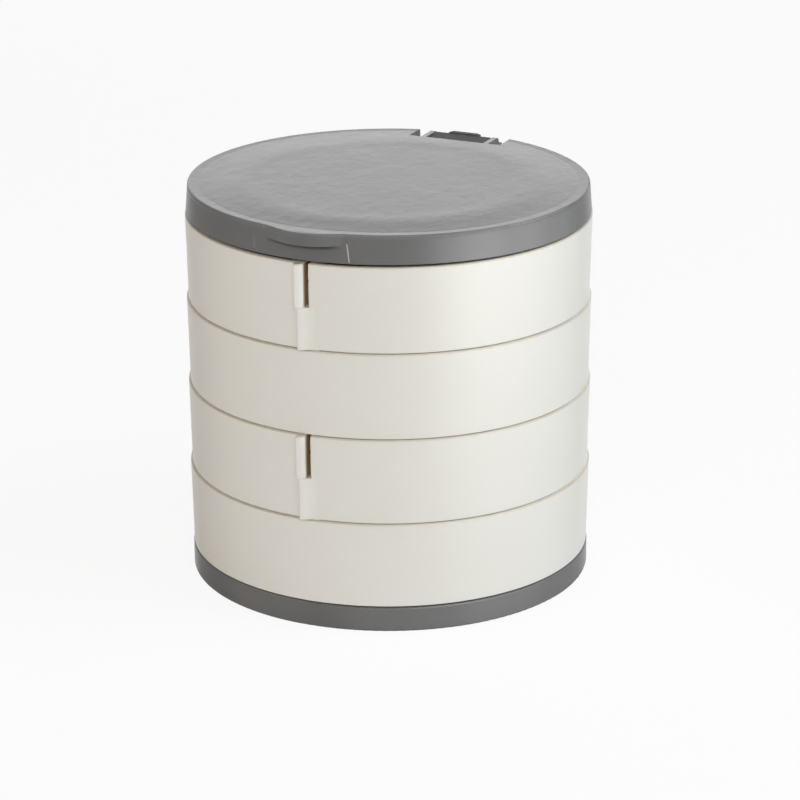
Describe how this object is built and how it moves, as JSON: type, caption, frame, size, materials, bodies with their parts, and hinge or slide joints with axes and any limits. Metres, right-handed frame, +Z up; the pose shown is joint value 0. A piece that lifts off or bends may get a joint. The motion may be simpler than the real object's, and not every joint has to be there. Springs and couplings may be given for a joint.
{
  "type": "rotating storage box",
  "caption": "Round stacked storage box: trays swing out on pivots at alternate sides of the rim, under a hinged lid with a finger lip and a mirror inside.",
  "frame": {"origin": "centre of the underside of the foot, on the axis of the closed stack", "axes": "+Z up along the stack, -Y the front with the lid's finger lip, +Y the back with the lid's hinge"},
  "size_m": [0.1, 0.103, 0.0993],
  "materials": {
    "white_abs": "smooth moulded, satin",
    "grey_abs": "fine matt texture",
    "dark_abs": "fine matt texture",
    "white_acetal": "smooth moulded",
    "steel_pin": "drawn wire",
    "mirror": "silvered glass, bevelled edge",
    "foam_tape": "matt foam"
  },
  "bodies": {
    "base": {"base": "grey_abs", "pivot_pin_4": "white_acetal"},
    "tray_4": {"tray_4": "white_abs", "pivot_pin_3": "white_acetal"},
    "tray_3": {"tray_3": "white_abs", "pivot_pin_2": "white_acetal"},
    "tray_2": {"tray_2": "white_abs", "pivot_pin_1": "white_acetal"},
    "tray_1": {"tray_1": "white_abs", "hinge_bracket": "dark_abs"},
    "lid": {"lid_shell": "grey_abs", "lid_hinge_pin": "steel_pin", "mirror_tape": "foam_tape", "lid_mirror": "mirror"}
  },
  "joints": [
    {"name": "lid_hinge", "type": "hinge", "parent": "tray_1", "child": "lid", "pos_m": [0, 0.0477, 0.0946], "axis": [-1, 0, 0], "range_deg": [-0.35, 105]},
    {"name": "tray_1_swing", "type": "hinge", "parent": "tray_2", "child": "tray_1", "pos_m": [0, -0.04535, 0.07055], "axis": [0, 0, 1], "continuous": true},
    {"name": "tray_2_swing", "type": "hinge", "parent": "tray_3", "child": "tray_2", "pos_m": [0, 0.04535, 0.0492], "axis": [0, 0, 1], "continuous": true},
    {"name": "tray_3_swing", "type": "hinge", "parent": "tray_4", "child": "tray_3", "pos_m": [0, -0.04535, 0.02785], "axis": [0, 0, 1], "continuous": true},
    {"name": "tray_4_swing", "type": "hinge", "parent": "base", "child": "tray_4", "pos_m": [0, 0.04535, 0.0065], "axis": [0, 0, 1], "continuous": true}
  ]
}
